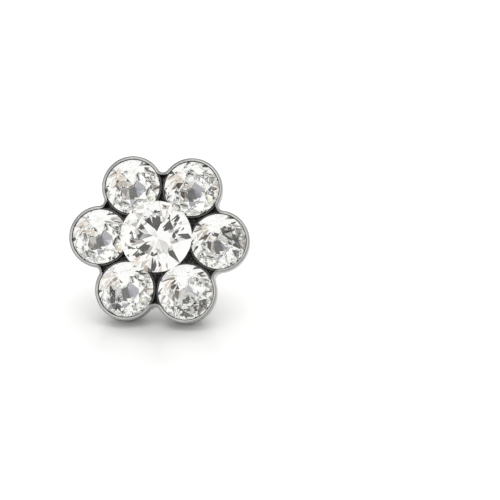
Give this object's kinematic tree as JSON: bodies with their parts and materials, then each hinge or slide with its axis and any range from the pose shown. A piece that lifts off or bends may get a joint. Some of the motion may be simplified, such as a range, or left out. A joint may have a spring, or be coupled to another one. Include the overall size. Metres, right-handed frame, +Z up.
{
  "type": "flower stud earring",
  "caption": "Stud earring: six round cut stones as petals about a raised centre stone, in a cast setting with a scalloped rim, on a straight ear post.",
  "frame": {"origin": "on the surface that the earring rests on, under the middle of its bounding box", "axes": "+Z up; the front of the flower looks to -Y and up, leaning back; +X is to the right seen from the front; the post runs to +Y and down"},
  "size_m": [0.0182, 0.0164, 0.0148],
  "materials": {
    "silver": "silver-plated casting, polished on the rim and blackened in the hollows",
    "steel": "plain drawn wire and pad, polished",
    "crystal": "clear cut glass with a silver foil on the pavilion"
  },
  "bodies": {
    "root": {"flower_setting": "silver", "ear_post": "steel", "centre_stone": "crystal", "petal_stone_1": "crystal", "petal_stone_2": "crystal", "petal_stone_3": "crystal", "petal_stone_4": "crystal", "petal_stone_5": "crystal", "petal_stone_6": "crystal"}
  },
  "joints": []
}
